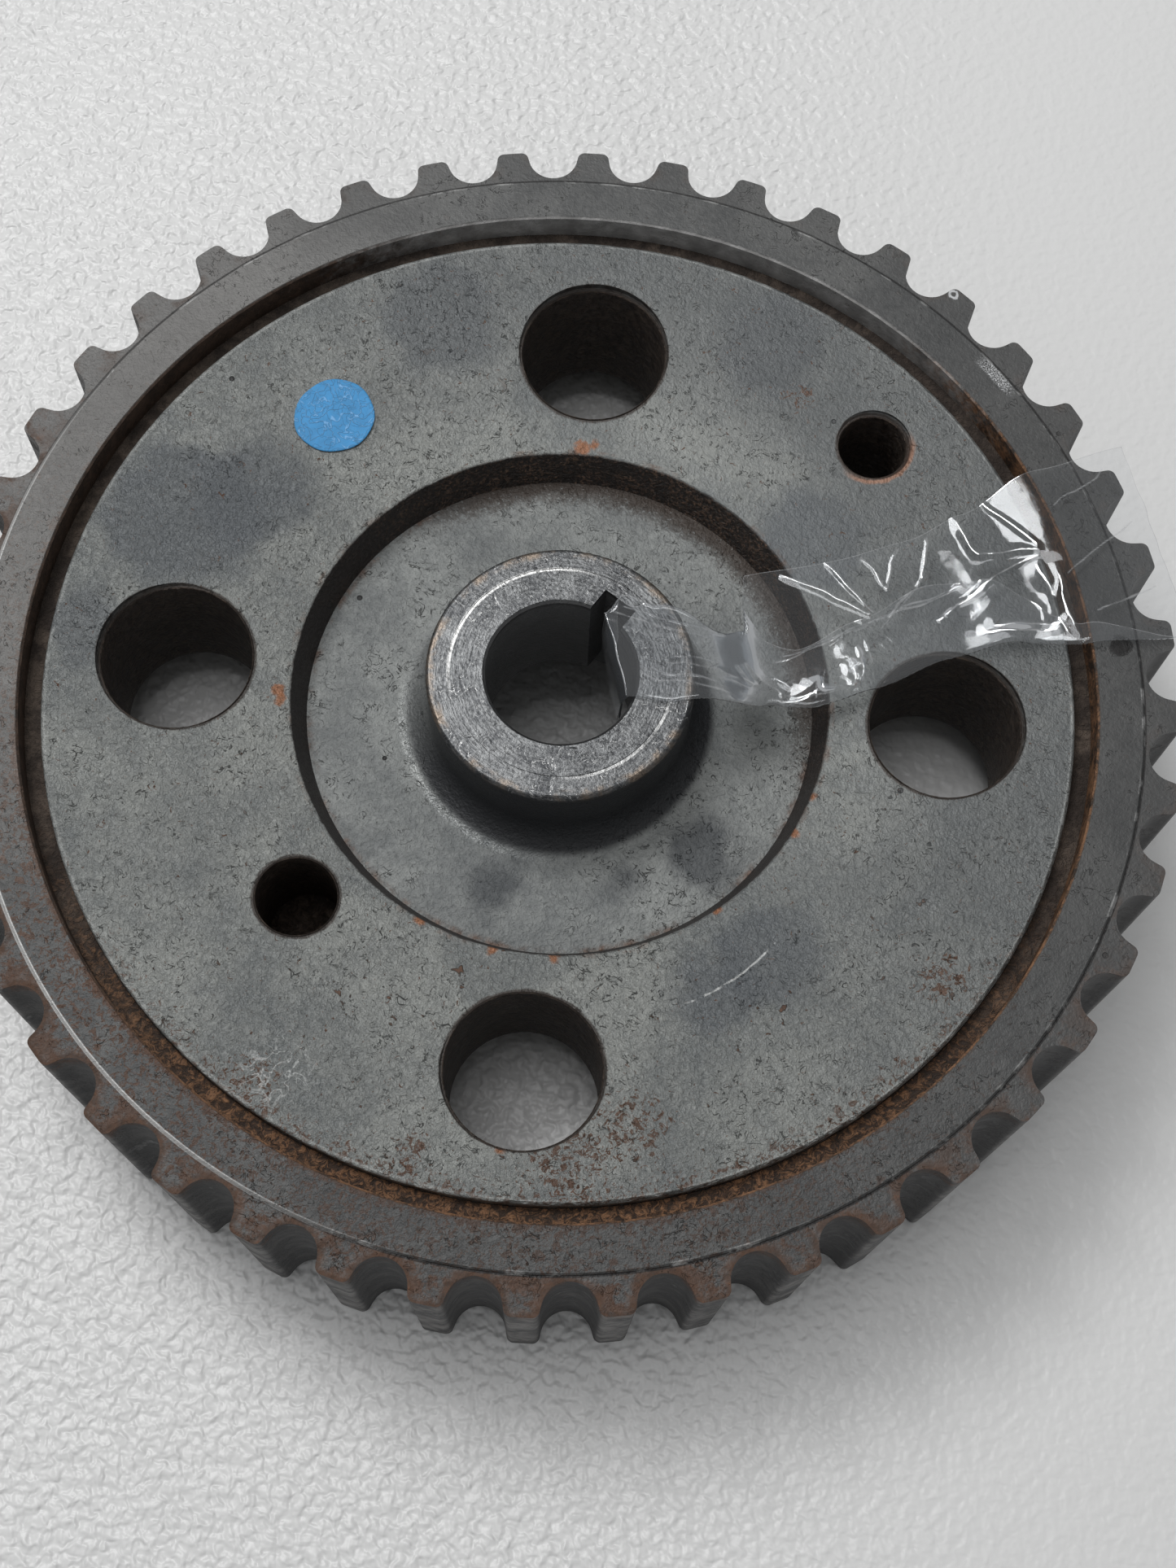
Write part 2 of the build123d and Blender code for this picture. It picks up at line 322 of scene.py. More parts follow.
def web_finish(settings):
    """The web: phosphate, cloud stains, rusty hole walls, groove and recess wall."""
    steel = Finish("web_phosphate", IOR=1.5)
    plain, height, grain, mottle = phosphate(steel, settings.dark, settings.light, 1.0)
    colour = patch(steel, plain, WEB_STAINS, (0.080, 0.088, 0.096), 0.70, 2.0)

    # The coating is darker towards the upper right
    dark_side = steel.ramp(steel.turned(40.0), 110.0, 50.0) * steel.ramp(steel.radius, 30.0, 45.0)
    colour = steel.mix(dark_side * 0.62, colour, (0.075, 0.080, 0.083))
    rust = rust_colour(steel, 3.0)
    edge = steel.noise(1.6, 4.0, 0.7, 0.5, 5.0) - 0.5

    # Loose rust on the face, thickest at the lower edge
    low_side = steel.ramp(steel.turned(-85.0), 95.0, 30.0)
    specks = rust_specks(steel, 2.1, 0.10, 4.0) * (0.25 + low_side * 0.75)
    colour = steel.mix(specks * 0.85, colour, rust)

    # Single rust spots, and a rusty edge on one side of the pin hole
    for x, y, size in RUST_SPOTS:
        spot = steel.ramp(steel.away((x, y)) + edge * 1.8, size + 0.25, size - 0.25)
        colour = steel.mix(spot * 0.9, colour, steel.mix(grain, RUST_BROWN, RUST_ORANGE))
    pin_ring = steel.band(steel.away(PIN_PLACE) + edge * 0.8, PIN_RADIUS, PIN_RADIUS + 0.7, 0.35)
    pin_side = steel.ramp(steel.away((PIN_PLACE[0] + 2.4, PIN_PLACE[1] - 3.4)), 6.0, 3.5)
    colour = steel.mix(pin_ring * pin_side * 0.75, colour, (0.30, 0.15, 0.09))

    # Scattered rust in patches and along the outer edge
    crumbs = steel.noise(0.8, 3.0, 0.75, 1.0, 6.0)
    crumb_colour = steel.mix(grain, RUST_DARK, RUST_BROWN)
    for x, y, size in CRUMB_PATCHES:
        near = steel.ramp(steel.away((x, y)), size, size * 0.2)
        colour = steel.mix(steel.ramp(crumbs + near * 0.16, 0.66, 0.71) * 0.9, colour, crumb_colour)
    fringe = steel.ramp(steel.radius + edge * 3.0, WEB_RADIUS - 4.5, WEB_RADIUS) * low_side
    colour = steel.mix(steel.ramp(crumbs + fringe * 0.14, 0.64, 0.69) * fringe * 0.9, colour, crumb_colour)

    # A long thin scratch right of the bottom hole, and rubbed marks at the lower left
    scratch = steel.away((6.2, -12.5)) + edge * 0.35
    scratch = steel.ramp(abs(scratch - 22.6), 0.15, 0.05) * steel.ramp(steel.away((20.7, -29.5)), 6.5, 5.0)
    colour = steel.mix(scratch * steel.ramp(mottle, 0.40, 0.5) * 0.8, colour, WORN_STEEL)
    rubbed = steel.threads(2.0, 0.03, 0.8, 7.0) * steel.ramp(steel.away((-24.5, -44.0)), 5.0, 1.5)
    colour = steel.mix(rubbed * 0.6, colour, WORN_STEEL)

    # Worn outer lip
    lip = steel.band(steel.radius, WEB_RADIUS - 0.40, WEB_RADIUS - 0.02, 0.2)
    colour = steel.mix(lip * steel.ramp(mottle, 0.36, 0.62) * 0.5, colour, (0.34, 0.35, 0.34))

    # Groove wall and floor
    groove = steel.ramp(steel.radius + edge * 0.25, WEB_RADIUS - 0.04, WEB_RADIUS + 0.10)
    low_groove = steel.ramp(steel.turned(-88.0) + edge * 40, 75.0, 30.0)
    groove_colour = steel.mix(steel.ramp(mottle, 0.4, 0.65), (0.032, 0.023, 0.018), (0.090, 0.068, 0.053))
    bright_rust = steel.mix(steel.ramp(crumbs, 0.42, 0.64), (0.042, 0.026, 0.018), (0.245, 0.128, 0.066))
    rusty = low_groove * steel.ramp(mottle + crumbs * 0.3, 0.40, 0.62)
    groove_colour = steel.mix(rusty, groove_colour, bright_rust)
    colour = steel.mix(groove, colour, groove_colour)

    # Recess wall
    wall = steel.ramp(steel.radius + edge * 0.35, RECESS_RADIUS + 0.12, RECESS_RADIUS - 0.10)
    wall_rust = steel.ramp(steel.turned(75.0) + edge * 50, 100.0, 20.0) * steel.ramp(mottle, 0.35, 0.6)
    dust = steel.noise(0.45, 3.0, 0.8, 0.3, 9.0)
    dusty = steel.ramp(dust, 0.46, 0.66) * wall_rust
    wall_colour = steel.mix(dusty, (0.018, 0.013, 0.011), (0.19, 0.115, 0.075))
    colour = steel.mix(wall, colour, wall_colour)
    ring = steel.band(steel.radius + edge * 0.5, RECESS_RADIUS + 0.1, RECESS_RADIUS + 0.45, 0.25)
    colour = steel.mix(ring * steel.ramp(mottle, 0.5, 0.7) * 0.5, colour, RUST_BROWN)

    # Walls of the holes: the four large ones share one distance, by symmetry
    across = steel.larger(abs(steel.x), abs(steel.y)) - HOLE_CIRCLE
    along = steel.smaller(abs(steel.x), abs(steel.y))
    hole = steel.maths("SQRT", across * across + along * along) - HOLE_RADIUS
    through = steel.smaller(hole, steel.away(PIN_PLACE) - PIN_RADIUS)
    hole = steel.smaller(through, steel.away(BLIND_PLACE) - BLIND_RADIUS)
    lint = steel.noise(0.9, 4.0, 0.75, 1.2, 8.0)
    hole_colour = steel.mix(steel.ramp(lint, 0.36, 0.72), (0.024, 0.018, 0.015), (0.100, 0.073, 0.055))
    mouth = steel.ramp(hole + edge * 0.5, 0.55, 0.30)
    mouth_colour = steel.mix(mottle, (0.012, 0.010, 0.009), (0.060, 0.045, 0.036))
    colour = steel.mix(mouth * 0.9, colour, mouth_colour)
    hole_wall = steel.ramp(hole, 0.20, 0.05)
    colour = steel.mix(hole_wall * steel.ramp(steel.z, BACK + 0.05, BACK + 0.3), colour, hole_colour)

    # The back is plain, with a little rust towards its outer corner
    back = steel.ramp(steel.z, BACK + 0.4, BACK + 0.2) * steel.ramp(through, -0.05, 0.10)
    corner = steel.ramp(steel.radius, BAND_INNER - 5.0, BAND_INNER)
    back_rust = steel.ramp(crumbs + corner * 0.15, 0.64, 0.70)
    colour = steel.mix(back, colour, steel.mix(back_rust * 0.8, plain, crumb_colour))

    steel.feed("Base Color", colour)
    steel.feed("Roughness", steel.larger(0.38 + mottle * 0.24, steel.larger(specks, groove) * 0.9))
    steel.feed("Metallic", 0.35 - 0.35 * steel.larger(specks, steel.larger(groove, wall)))
    rough_side = steel.ramp(steel.turned(-135.0), 160.0, 60.0)
    loose = (dust * wall + lint * hole_wall + crumbs * groove) * 3.0
    steel.bump(height * (0.45 + rough_side * 0.55) + specks * 0.8 + loose, 0.23)
    return steel.material


def hub_finish(settings):
    """The hub: phosphated floor and boss, and a bare turned nose."""
    steel = Finish("hub_turned_steel", IOR=1.5)
    plain, height, grain, mottle = phosphate(steel, settings.dark, settings.light, 11.0)
    colour = patch(steel, plain, HUB_STAINS, (0.058, 0.063, 0.068), 0.85, 12.0)
    rust = rust_colour(steel, 13.0)
    edge = steel.noise(1.6, 4.0, 0.7, 0.5, 15.0) - 0.5
    rim = steel.ramp(steel.radius + edge * 1.2, HUB_RADIUS - 0.9, HUB_RADIUS - 0.1)
    colour = steel.mix(rim * steel.ramp(mottle, 0.4, 0.65) * 0.8, colour, rust)

    # Dust that has crept in from the recess wall, at the top and the right
    dusty = steel.ramp(steel.radius + edge * 3.0, 23.5, 27.0) * steel.ramp(steel.turned(60.0), 85.0, 50.0)
    dust = steel.noise(0.45, 3.0, 0.8, 0.3, 19.0)
    dusty = dusty * steel.ramp(dust + dusty * 0.25, 0.52, 0.66)
    colour = steel.mix(dusty * 0.95, colour, (0.040, 0.028, 0.021))

    # Boss side and its fillet: darker all round and painted darker still below, as painted shade under the
    # nose, and rubbed smooth at the lower left
    painted_shade_below = steel.ramp(steel.turned(-65.0), 125.0, 75.0)
    side = steel.ramp(steel.radius, 17.3, 16.2)
    colour = steel.mix(side * (0.35 + painted_shade_below * 0.6), colour, (0.022, 0.023, 0.026))
    rubbed = steel.band(steel.radius, 17.0, 17.5, 0.45) * steel.ramp(steel.turned(-140.0), 62.0, 25.0)

    # Bare nose: turning marks run round the axis, and a washer has left its ring, painted bright as a
    # highlight only on the arcs toward the light and opposite it
    top = steel.ramp(steel.z, NOSE_TOP - 1.2, NOSE_TOP - 0.25)
    top = top * steel.ramp(steel.radius, NOSE_RADIUS + 0.1, NOSE_RADIUS - 0.1)
    turned_at = steel.node("ShaderNodeCombineXYZ", inputs={0: steel.radius, 1: steel.angle * 0.035, 2: 0.0})
    turning = steel.noise(0.26, 3.0, 0.6, 0.1, 16.0, at=turned_at)
    cloud = turning * 0.22 + mottle * 0.48 + grain * 0.30
    bare = steel.mix(steel.ramp(cloud, 0.38, 0.62), (0.050, 0.052, 0.055), (0.170, 0.174, 0.176))
    # Painted highlight: the washer ring is bright on the arcs toward the lamp and opposite it
    washer_glint_side = steel.ramp(steel.turned(135.0), 70.0, 30.0)
    washer_glint_side = steel.larger(washer_glint_side, steel.ramp(steel.turned(-45.0), 45.0, 20.0) * 0.6)
    washer_and_glint = steel.band(steel.radius, 11.75, 11.95, 0.13) * washer_glint_side
    bare = steel.mix(washer_and_glint * steel.ramp(mottle, 0.3, 0.5) * 0.8, bare, BARE_STEEL_AND_GLINT)
    outer = steel.ramp(steel.radius + edge * 1.6, 13.0, 13.7)
    outer_colour = steel.mix(grain, (0.050, 0.040, 0.032), (0.30, 0.24, 0.19))
    bare = steel.mix(outer * steel.ramp(mottle, 0.42, 0.62) * 0.9, bare, outer_colour)
    dark_nicks = steel.threads(2.4, 0.020, 1.6, 17.0) * steel.ramp(mottle, 0.5, 0.62)
    bare = steel.mix(dark_nicks * 0.8, bare, (0.03, 0.03, 0.03))
    bright_nicks = steel.threads(1.9, 0.014, 1.8, 18.0) * steel.ramp(mottle, 0.5, 0.40)
    bare = steel.mix(bright_nicks * 0.7, bare, (0.55, 0.55, 0.54))
    colour = steel.mix(top, colour, bare)

    # The back is plain
    colour = steel.mix(steel.ramp(steel.z, BACK + 6.0, BACK + 4.0), colour, plain)

    # Bore and keyway walls
    bore = steel.ramp(steel.radius, BORE_RADIUS + 0.35, BORE_RADIUS + 0.10)
    deep = steel.ramp(steel.z, NOSE_TOP - 0.2, NOSE_TOP - 0.5) * steel.ramp(steel.radius, 11.0, 10.6)
    bore_colour = steel.mix(mottle, (0.080, 0.081, 0.082), (0.170, 0.171, 0.172))
    colour = steel.mix(steel.larger(bore, deep) * 0.9, colour, bore_colour)

    steel.feed("Base Color", colour)
    steel.feed("Roughness", 0.52 - top * 0.18 + grain * 0.1 - rubbed * 0.25)
    steel.feed("Metallic", 0.3 + top * 0.6)
    steel.bump(height * (1 - top * 0.75) + turning * top * 0.3, 0.18)
    return steel.material


def rim_finish(settings):
    """The rim: grey band, worn lands and rusty gullet edges."""
    steel = Finish("rim_phosphate", IOR=1.5)
    colour, height, grain, mottle = phosphate(steel, settings.dark, settings.light, 21.0)
    rust = rust_colour(steel, 23.0)
    edge = steel.noise(1.3, 4.0, 0.7, 0.5, 25.0) - 0.5
    low_side = steel.ramp(steel.turned(-120.0), 120.0, 40.0)

    # Band: dark at the right and paler at the left, as painted shade and painted light that follow the lamp
    # at the upper left, and pitted and rusty at the lower left
    specks = rust_specks(steel, 1.7, 0.13, 24.0) * (0.15 + low_side * 0.85)
    colour = steel.mix(specks * 0.8, colour, rust)
    crumbs = steel.noise(0.8, 3.0, 0.75, 1.0, 26.0)
    crumb_colour = steel.mix(grain, RUST_DARK, RUST_BROWN)
    grit = steel.ramp(crumbs + low_side * 0.15, 0.66, 0.72) * low_side
    colour = steel.mix(grit * 0.85, colour, crumb_colour)
    spill = steel.ramp(steel.radius + edge * 2.0, BAND_INNER + 1.6, BAND_INNER + 0.2) * low_side
    colour = steel.mix(steel.ramp(crumbs + spill * 0.25, 0.60, 0.70) * spill * 0.9, colour, crumb_colour)
    # Painted shade at the lower right and painted light at the left, away from and toward the lamp
    dark_side = steel.ramp(steel.turned(-35.0), 110.0, 60.0)
    colour = steel.mix(dark_side * 0.40, colour, (0.045, 0.045, 0.045))
    painted_light_side = steel.ramp(steel.turned(160.0), 60.0, 20.0)
    colour = steel.mix(painted_light_side * 0.4, colour, (0.215, 0.205, 0.195))

    # Teeth: the fold of the angle makes one tooth space do for all
    step = 360 / TOOTH_COUNT
    turn = steel.angle - (TOOTH_START + step / 2)
    fold = steel.maths("WRAP", turn, step / 2, -step / 2)
    sideways = fold * (math.pi / 180) * steel.radius
    outward = steel.larger(steel.smaller(steel.radius - (ROOT_RADIUS + GULLET_RADIUS), 20.0), -20.0)
    inward = steel.smaller(outward, 0.0)
    gullet = steel.maths("SQRT", sideways * sideways + inward * inward) - GULLET_RADIUS
    gullet = gullet - steel.larger(outward, 0.0) * 0.26
    front = steel.ramp(steel.z, RIM_TOP - 0.75, RIM_TOP - 0.35)
    land = steel.ramp(steel.radius, BAND_OUTER - 0.1, BAND_OUTER + 0.15)
    colour = steel.mix(land * (1 - low_side * 0.5) * 0.35, colour, (0.085, 0.084, 0.083))
    worn = steel.ramp(gullet + edge * 2.2, 1.35, 0.15)
    tip = steel.ramp(steel.radius + edge * 1.5, TIP_RADIUS - 1.0, TIP_RADIUS - 0.1)
    rusty = steel.larger(worn, tip) * land * steel.ramp(mottle + low_side * 0.25, 0.48, 0.66)
    rusty_colour = steel.mix(0.5, rust, (0.085, 0.052, 0.037))
    blotch = steel.ramp(mottle + crumbs * 0.35, 0.62, 0.76) * land * low_side
    colour = steel.mix(blotch * 0.8, colour, crumb_colour)
    colour = steel.mix(rusty * (0.2 + low_side * 0.6), colour, rusty_colour)

    # Sides of the teeth, rusty at their upper edge and rubbed at their tips
    flank = land * (1 - front)
    down = steel.ramp(steel.z + edge * 5.0, RIM_TOP - 4.0, RIM_TOP - 0.8)
    flank_colour = steel.mix(steel.ramp(mottle, 0.3, 0.8), (0.060, 0.060, 0.061), (0.130, 0.128, 0.126))
    flank_colour = steel.mix(down * low_side * steel.ramp(mottle, 0.4, 0.6) * 0.8, flank_colour, rust)
    rubbed = steel.ramp(steel.radius, TIP_RADIUS - 0.5, TIP_RADIUS - 0.1)
    flank_colour = steel.mix(rubbed * steel.ramp(mottle, 0.35, 0.7) * 0.6, flank_colour, (0.30, 0.29, 0.28))
    colour = steel.mix(flank, colour, flank_colour)

    # Black line of painted shade where the band stands on the tooth faces, with a worn edge beside it that
    # carries a painted highlight at the lower left
    highlight_side = steel.ramp(steel.turned(-155.0), 60.0, 25.0)
    step_shade_line = steel.band(steel.radius, BAND_OUTER - 0.02, BAND_OUTER + 0.14, 0.10)
    colour = steel.mix(step_shade_line * (1 - highlight_side) * 0.85, colour, SOOT_AND_SHADE)
    worn_and_lit_edge = steel.band(steel.radius, BAND_OUTER - 0.30, BAND_OUTER - 0.02, 0.12)
    worn_and_lit_edge = worn_and_lit_edge * steel.larger(highlight_side, steel.ramp(mottle, 0.5, 0.66) * 0.5)
    colour = steel.mix(worn_and_lit_edge * 0.8, colour, BARE_STEEL_AND_GLINT)

    # A scuff on the band's edge at the upper right
    scuff = steel.ramp(steel.away((44.9, 41.0)), 3.4, 1.2) * steel.band(steel.radius, 60.6, 61.6, 0.3)
    scuff = scuff * steel.ramp(steel.noise(0.16, 3.0, 0.7, 0.0, 28.0), 0.46, 0.62) * front
    colour = steel.mix(scuff * 0.9, colour, (0.70, 0.71, 0.72))

    # Inner wall of the band, down in the groove: grey steel at the top and rust elsewhere, both painted
    # paler as painted light on a wall that the lamps leave in shade
    wall = steel.ramp(steel.radius + edge * 0.2, BAND_INNER + 0.28, BAND_INNER + 0.10)
    left = steel.ramp(steel.turned(165.0), 80.0, 45.0)
    # Painted light: the rust away from the left and the grey at the top are painted paler, on a wall the
    # lamps leave in shade
    bright_rust = steel.mix(left, (0.27, 0.140, 0.073), (0.085, 0.054, 0.038))
    lumps = steel.ramp(mottle * 0.5 + crumbs * 0.5, 0.38, 0.62)
    wall_rust = steel.mix(lumps, (0.036, 0.025, 0.019), bright_rust)
    lit_wall_grey = steel.mix(steel.ramp(mottle, 0.3, 0.7), (0.26, 0.255, 0.25), (0.46, 0.455, 0.45))
    wall_colour = steel.mix(steel.ramp(steel.turned(80.0) + edge * 30, 45.0, 25.0), wall_rust, lit_wall_grey)
    colour = steel.mix(wall, colour, wall_colour)

    # One chipped tooth corner, bright round its edge, and a spot of dirt on the band
    chip_turn = math.radians(52.0)
    chip_radius = TIP_RADIUS * 0.988
    chip = steel.away((chip_radius * math.cos(chip_turn), chip_radius * math.sin(chip_turn)))
    ring = steel.ramp(abs(chip + edge * 0.9 - 0.45), 0.22, 0.05) * front
    colour = steel.mix(ring * 0.85, colour, (0.62, 0.63, 0.64))
    dirt_spot = steel.ramp(steel.away((59.2, 9.6)) + edge * 1.6, 1.4, 0.8) * front
    colour = steel.mix(dirt_spot * 0.9, colour, SOOT_AND_SHADE)

    steel.feed("Base Color", colour)
    steel.feed("Roughness", steel.larger(0.44 + mottle * 0.25, rusty * 0.85))
    steel.feed("Metallic", 0.35 - 0.3 * steel.larger(rusty, specks))
    relief = height * (0.45 + low_side * 0.55) * (1 - flank * 0.6)
    steel.bump(relief + specks * 0.8 + rusty * edge * 1.2 + dirt_spot, 0.16)
    return steel.material


def paper_finish(settings):
    """Sky blue paper with pale wrinkles, a soft fibre and grey specks."""
    paper = Finish("blue_paper", IOR=1.45, Sheen_Weight=0.1)
    fibre = paper.noise(0.35, 3.0, 0.6, 0.4, 31.0)
    wrinkle = paper.threads(2.4, 0.03, 1.6, 32.0)
    wrinkle = paper.larger(wrinkle, paper.threads(1.5, 0.02, 1.2, 35.0) * 0.7)
    blotch = paper.noise(2.2, 3.0, 0.6, 0.5, 33.0)
    deep = tuple(c * 0.82 for c in settings.colour)
    pale = tuple(c + 0.14 for c in settings.colour)
    colour = paper.mix(paper.ramp(blotch * 0.7 + fibre * 0.3, 0.34, 0.66), deep, settings.colour)
    colour = paper.mix(wrinkle * 0.9, colour, pale)
    specks = paper.ramp(paper.noise(0.5, 2.0, 0.6, 0.0, 34.0), 0.72, 0.76)
    colour = paper.mix(specks * 0.5, colour, (0.10, 0.13, 0.16))
    paper.feed("Base Color", colour)
    paper.feed("Roughness", 0.5 + fibre * 0.25)
    paper.bump(wrinkle * 0.7 + fibre * 0.4 + blotch * 0.5, 0.10)
    return paper.material


def film_finish(settings):
    """Clear glossy film: faint where it lies smooth, whitened along its creases and edges, partly as a
    painted highlight.
    """
    film = Finish("clear_film", Metallic=0.9, Roughness=0.10)
    crease = film.node("ShaderNodeAttribute", {"attribute_name": "crease"}, output="Fac")
    haze = film.noise(3.0, 3.0, 0.6, 0.8, 41.0)
    # Whitening along the creases and edges, partly a painted highlight
    whitening_and_highlight = film.ramp(crease + (haze - 0.5) * 0.8, 0.35, 1.0)
    film.feed("Base Color", film.mix(whitening_and_highlight, settings.tint, (0.93, 0.94, 0.95)))
    film.bump(haze, 0.02)
    clear = film.node("ShaderNodeBsdfTransparent", inputs={0: (0.975, 0.98, 0.985, 1.0)})
    facing = film.node("ShaderNodeFresnel", inputs={"IOR": 1.5})
    amount = film.smaller(settings.haze + facing * 1.2 + whitening_and_highlight * 0.52, 0.92)
    inputs = {0: amount, 1: clear, 2: Value(film, film.shader.outputs["BSDF"])}
    both = film.node("ShaderNodeMixShader", inputs=inputs)
    film.tree.links.new(both.socket, film.output.inputs["Surface"])
    return film.material


def floor_finish(settings):
    """Pale plain board with a leathery relief that is weaker on one side."""
    board = Finish("pale_board", IOR=1.45)
    broad = board.noise(60.0, 2.0, 0.5, 0.0, 51.0)
    relief = board.noise(1.15, 1.0, 0.4, 0.2, 52.0)
    low = tuple(c * 0.96 for c in settings.colour)
    board.feed("Base Color", board.mix(broad, low, settings.colour))
    board.feed("Roughness", 0.30 + relief * 0.12)
    stronger = board.ramp(board.x, 60.0, 0.0)
    board.bump(relief * (0.25 + 0.75 * stronger), 0.65)
    return board.material


# ---------------------------------------------------------------------------------------------
# Meshes
# ---------------------------------------------------------------------------------------------


def add_piece(name, mesh, material):
    """Adds a mesh to the scene, smooth-shaded and in one material."""
    piece = bpy.data.objects.new(name, mesh)
    bpy.context.scene.collection.objects.link(piece)
    mesh.materials.append(material)
    for face in mesh.polygons:
        face.use_smooth = True
    return piece


def dress(node, material):
    """Gives a part of the frame its finish."""
    piece = frame["nodes"][node]
    piece.data.materials.clear()
    piece.data.materials.append(material)
    return piece


def stored_mesh(name, builder):
    """Keeps what a mesh builder has built, and frees the builder."""
    mesh = bpy.data.meshes.new(name)
    builder.to_mesh(mesh)
    builder.free()
    return mesh


# The paper dot: its size in millimetres, its mesh, and the share of its radius where it starts to curl up
DOT_LONG = 9.25
DOT_WIDE = 8.70
DOT_RINGS = 22
DOT_STEPS = 120
DOT_CURL_START = 0.85


def dot_mesh(settings):
    """A paper disc with a slightly uneven edge that curls up, lying on the web."""
    middle = (DOT_LOW + DOT_HIGH) / 2
    angle = math.atan2(middle.y, middle.x)
    along = Vector((-math.sin(angle), math.cos(angle), 0.0))
    slope = Vector((math.cos(angle), math.sin(angle), DISH)).normalized()
    up = slope.cross(along)
    builder = bmesh.new()
    sides = []
    for lift in (settings.thickness, 0.0):
        rows = [[builder.verts.new(middle)]]
        for ring in range(1, DOT_RINGS + 1):
            row = []
            for step in range(DOT_STEPS):
                turn = 2 * math.pi * step / DOT_STEPS
                edge = 1 + 0.012 * math.sin(3 * turn + 1.0) + 0.008 * math.sin(7 * turn)
                reach = ring / DOT_RINGS * edge * 0.985
                x = math.cos(turn) * reach * DOT_LONG / 2 * MM
                y = math.sin(turn) * reach * DOT_WIDE / 2 * MM
                place = middle + along * x + slope * y
                ripple = noise.noise(place * 900.0) * 0.02
                ripple += noise.noise(place * 350.0 + Vector((4, 1, 2))) * 0.03
                curl = max(0.0, reach - DOT_CURL_START) / (1 - DOT_CURL_START)
                curl *= 0.05 * (1 + noise.noise(place * 250.0))
                row.append(builder.verts.new(place + up * (lift + (ripple + curl - 0.01) * MM)))
            rows.append(row)
        rows[0][0].co = middle + up * (lift + 0.00002)
        for step in range(DOT_STEPS):
            after = (step + 1) % DOT_STEPS
            builder.faces.new((rows[0][0], rows[1][step], rows[1][after]))
            for low, high in zip(rows[1:], rows[2:]):
                builder.faces.new((low[step], high[step], high[after], low[after]))
        sides.append(rows[-1])
    for step in range(DOT_STEPS):
        after = (step + 1) % DOT_STEPS
        builder.faces.new((sides[0][step], sides[1][step], sides[1][after], sides[0][after]))
    bmesh.ops.recalc_face_normals(builder, faces=builder.faces)
    return stored_mesh("blue_dot", builder)


def between(x, points):
    """Smooth reading of a curve, given as (x, value) points in order."""
    if x <= points[0][0]:
        return points[0][1]
    for (x0, y0), (x1, y1) in zip(points, points[1:]):
        if x <= x1:
            share = (x - x0) / (x1 - x0)
            return y0 + (y1 - y0) * share * share * (3 - 2 * share)
    return points[-1][1]


# The film lies outwards from the bore, at an angle to the x axis. In its own plan, the first number runs
# along it from the shaft axis and the second across it, in millimetres. Its two edges are given so.
FILM_ANGLE = math.radians(19.0)
FILM_UPPER = (
    (6.0, 5.2), (8.4, 6.9), (12.0, 4.8), (18.0, 0.6), (20.2, 1.0), (22.6, 7.9),
    (33.0, 7.2), (41.0, 7.6), (47.0, 9.0), (56.0, 11.6), (66.5, 12.4),
)
FILM_LOWER = (
    (6.0, -4.6), (11.0, -6.3), (20.8, -7.6), (26.0, -8.9), (33.0, -8.3),
    (41.0, -7.0), (47.0, -6.8), (56.0, -9.5), (66.5, -11.0),
)
# How high the film lies on the nose, and then at each distance from the axis
FILM_ON_NOSE = NOSE_TOP + 0.15
FILM_HEIGHT = (
    (4.0, FILM_ON_NOSE), (14.6, FILM_ON_NOSE),
    (23.5, web_height(23.5) + 2.6), (33.0, web_height(33.0) + 1.9),
    (43.0, web_height(43.0) + 1.3), (50.0, web_height(50.0) + 1.5),
    (57.0, RIM_TOP + 0.5), (62.0, RIM_TOP + 0.25), (66.5, RIM_TOP + 0.2),
)
# How loose the film is along its length from the bore's edge, from 0 where it lies flat to 1
FILM_LOOSE = (
    (-9.0, 0.9), (0.0, 0.5), (2.0, 0.15), (9.0, 0.3), (20.0, 1.0),
    (38.0, 1.0), (50.0, 0.95), (54.0, 0.45), (61.0, 0.35),
)
FILM_STEPS_LONG = 440
FILM_STEPS_WIDE = 150
# Where the film bends down into the bore, how far it springs up there, how far it hangs down,
# and how far it stands out past the teeth
FILM_BEND = 6.0
FILM_SPRING = 0.35
FILM_HANG = 8.5
FILM_PAST_TEETH = 0.9
# How far the whiteness, partly a painted highlight, reaches from a crease and from a cut or folded edge
CREASE_WHITE = 0.22
EDGE_WHITE = 0.12
# The rise from one folded layer to the next, and the highest that a loose fold stands over the nose
FILM_LAYER = 0.28
FILM_HIGHEST = NOSE_TOP + 0.85
